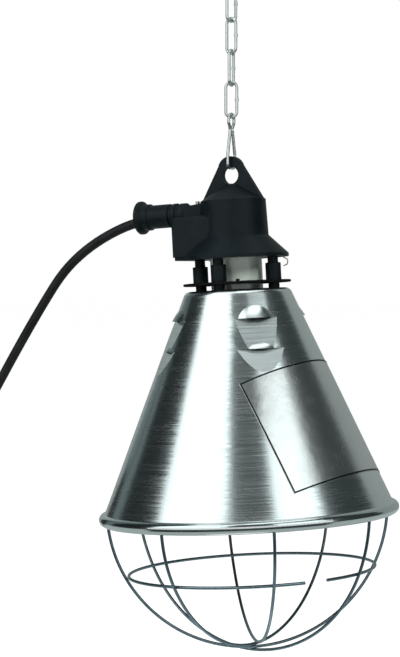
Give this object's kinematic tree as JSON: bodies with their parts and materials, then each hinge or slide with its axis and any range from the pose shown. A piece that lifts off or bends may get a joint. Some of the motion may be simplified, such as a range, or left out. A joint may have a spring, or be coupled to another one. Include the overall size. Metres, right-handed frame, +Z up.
{
  "type": "heat lamp",
  "caption": "Hanging infrared heat lamp: spun aluminium cone shade with a wire cage, black housing with lamp holder on posts, corded, hung on a chain.",
  "frame": {"origin": "hang point: the inner top of the S-hook's upper bow, where it rests on its support", "axes": "+Z up along the chain, -X towards the cord, +Y to the back"},
  "size_m": [0.4155, 0.212, 0.5039],
  "materials": {
    "galvanised_steel_wire": "galvanised",
    "zinc_plated_wire": "bright zinc plated",
    "black_plastic": "moulded, semi-gloss",
    "plated_steel": "nickel plated",
    "fibre_board": "pressed fibre",
    "spun_aluminium": "spun, bright",
    "foil": "satin foil",
    "porcelain": "glazed",
    "brass": "drawn",
    "red_glass": "blown",
    "clear_glass": "pressed",
    "black_glass": "fused",
    "tungsten": "drawn wire",
    "brown_insulation": "extruded",
    "blue_insulation": "extruded",
    "black_rubber": "extruded and moulded, matt"
  },
  "bodies": {
    "hook": {"s_hook": "galvanised_steel_wire"},
    "link_1": {"chain_link_1": "galvanised_steel_wire"},
    "link_2": {"chain_link_2": "galvanised_steel_wire"},
    "link_3": {"chain_link_3": "galvanised_steel_wire"},
    "link_4": {"chain_link_4": "galvanised_steel_wire"},
    "shackle": {"shackle": "galvanised_steel_wire"},
    "lamp": {"housing": "black_plastic", "base_plate": "black_plastic", "cable_sleeve": "black_plastic", "clamp_screw": "plated_steel", "posts": "black_plastic", "post_screws": "plated_steel", "spacer_disc": "fibre_board", "spring_clip": "plated_steel", "reflector": "spun_aluminium", "label": "foil", "holder_body": "porcelain", "screw_shell": "brass", "centre_contact": "brass", "terminals": "brass", "terminal_screws": "plated_steel", "live_wire": "brown_insulation", "neutral_wire": "blue_insulation", "cord_end": "black_rubber", "cord": "black_rubber", "cord_coil": "black_rubber", "coil_tie": "black_rubber", "plug_boot": "black_rubber", "plug_body": "black_rubber", "plug_pins": "plated_steel"},
    "cage": {"cage_hoop_1": "zinc_plated_wire", "cage_hoop_2": "zinc_plated_wire", "cage_hoop_3": "zinc_plated_wire", "cage_hoop_4": "zinc_plated_wire", "cage_ring": "zinc_plated_wire"},
    "bulb": {"bulb_glass": "red_glass", "bulb_cap": "brass", "bulb_insulator": "black_glass", "bulb_contact": "brass", "bulb_stem": "clear_glass", "filament": "tungsten"}
  },
  "joints": [
    {"name": "link_1_swing", "type": "hinge", "parent": "hook", "child": "link_1", "pos_m": [0, 0, -0.0326], "axis": [-0.7071, 0.7071, 0], "range_deg": [-30, 30]},
    {"name": "link_2_swing", "type": "hinge", "parent": "link_1", "child": "link_2", "pos_m": [0, 0, -0.0547], "axis": [0.454, 0.891, 0], "range_deg": [-30, 30]},
    {"name": "link_3_swing", "type": "hinge", "parent": "link_2", "child": "link_3", "pos_m": [0, 0, -0.07715], "axis": [0.9877, -0.1564, 0], "range_deg": [-30, 30]},
    {"name": "link_4_swing", "type": "hinge", "parent": "link_3", "child": "link_4", "pos_m": [0, 0, -0.0996], "axis": [-0.0523, 0.9986, 0], "range_deg": [-30, 30]},
    {"name": "shackle_swing", "type": "hinge", "parent": "link_4", "child": "shackle", "pos_m": [0, 0, -0.12205], "axis": [0.891, 0.454, 0], "range_deg": [-30, 30]},
    {"name": "lamp_tilt", "type": "hinge", "parent": "shackle", "child": "lamp", "pos_m": [0, 0, -0.15785], "axis": [0, 1, 0], "range_deg": [-30, 30]},
    {"name": "cage_release", "type": "slide", "parent": "lamp", "child": "cage", "axis": [0.0572, 0, -0.9984], "range_m": [0, 0.08]},
    {"name": "bulb_release", "type": "slide", "parent": "lamp", "child": "bulb", "axis": [0.0572, 0, -0.9984], "range_m": [0, 0.034]}
  ]
}
